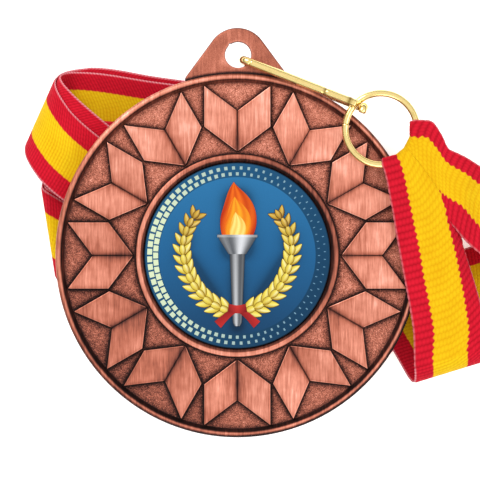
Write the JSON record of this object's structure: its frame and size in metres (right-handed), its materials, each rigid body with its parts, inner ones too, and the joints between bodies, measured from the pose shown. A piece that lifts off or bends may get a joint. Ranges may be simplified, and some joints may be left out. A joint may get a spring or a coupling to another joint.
{
  "type": "sports finisher medal",
  "caption": "Round copper-toned medal with raised plates and a printed insert, on a wire clip, a ring and a folded striped neck ribbon.",
  "frame": {"origin": "centre of the medal's disc, on the surface the folded ribbon lies on", "axes": "+Z out of the medal's face, +Y from the disc's centre towards its hanging tab"},
  "size_m": [0.0713, 0.0563, 0.0133],
  "materials": {
    "copper": "zinc casting plated antique copper: brushed high faces, dark patina in the recesses",
    "print": null,
    "adhesive": "double-sided adhesive pad",
    "gilt_wire": "bright gilt wire",
    "ribbon": "woven polyester ribbon, red, yellow and red stripes"
  },
  "bodies": {
    "ribbon": {"ribbon_ring_fold": "ribbon", "ribbon_front_strip": "ribbon", "ribbon_front_return": "ribbon", "ribbon_side_strip": "ribbon", "ribbon_side_return": "ribbon", "ribbon_upper_loop": "ribbon", "ribbon_lower_loop": "ribbon", "ribbon_stack": "ribbon"},
    "ring": {"jump_ring": "gilt_wire"},
    "clip": {"clip_frame": "gilt_wire"},
    "spring_arm": {"clip_spring_arm": "gilt_wire"},
    "medal": {"medal_casting": "copper", "printed_insert": "print", "insert_adhesive": "adhesive"}
  },
  "joints": [
    {"name": "ring_turn", "type": "hinge", "parent": "ribbon", "child": "ring", "pos_m": [0.0197, 0.01735, 0.01165], "axis": [0, 0, 1], "range_deg": [-35, 0]},
    {"name": "clip_swing", "type": "hinge", "parent": "ring", "child": "clip", "pos_m": [0.01624, 0.02081, 0.01165], "axis": [0, 0, 1], "range_deg": [-35, 0]},
    {"name": "medal_swing", "type": "hinge", "parent": "clip", "child": "medal", "pos_m": [0.00081, 0.02689, 0.0091], "axis": [0, 0, 1], "range_deg": [-108, 0]},
    {"name": "arm_open", "type": "hinge", "parent": "clip", "child": "spring_arm", "pos_m": [0.00235, 0.02629, 0.01115], "axis": [0, 0, 1], "range_deg": [0, 15], "stiffness_Nm_per_rad": 0.01}
  ]
}
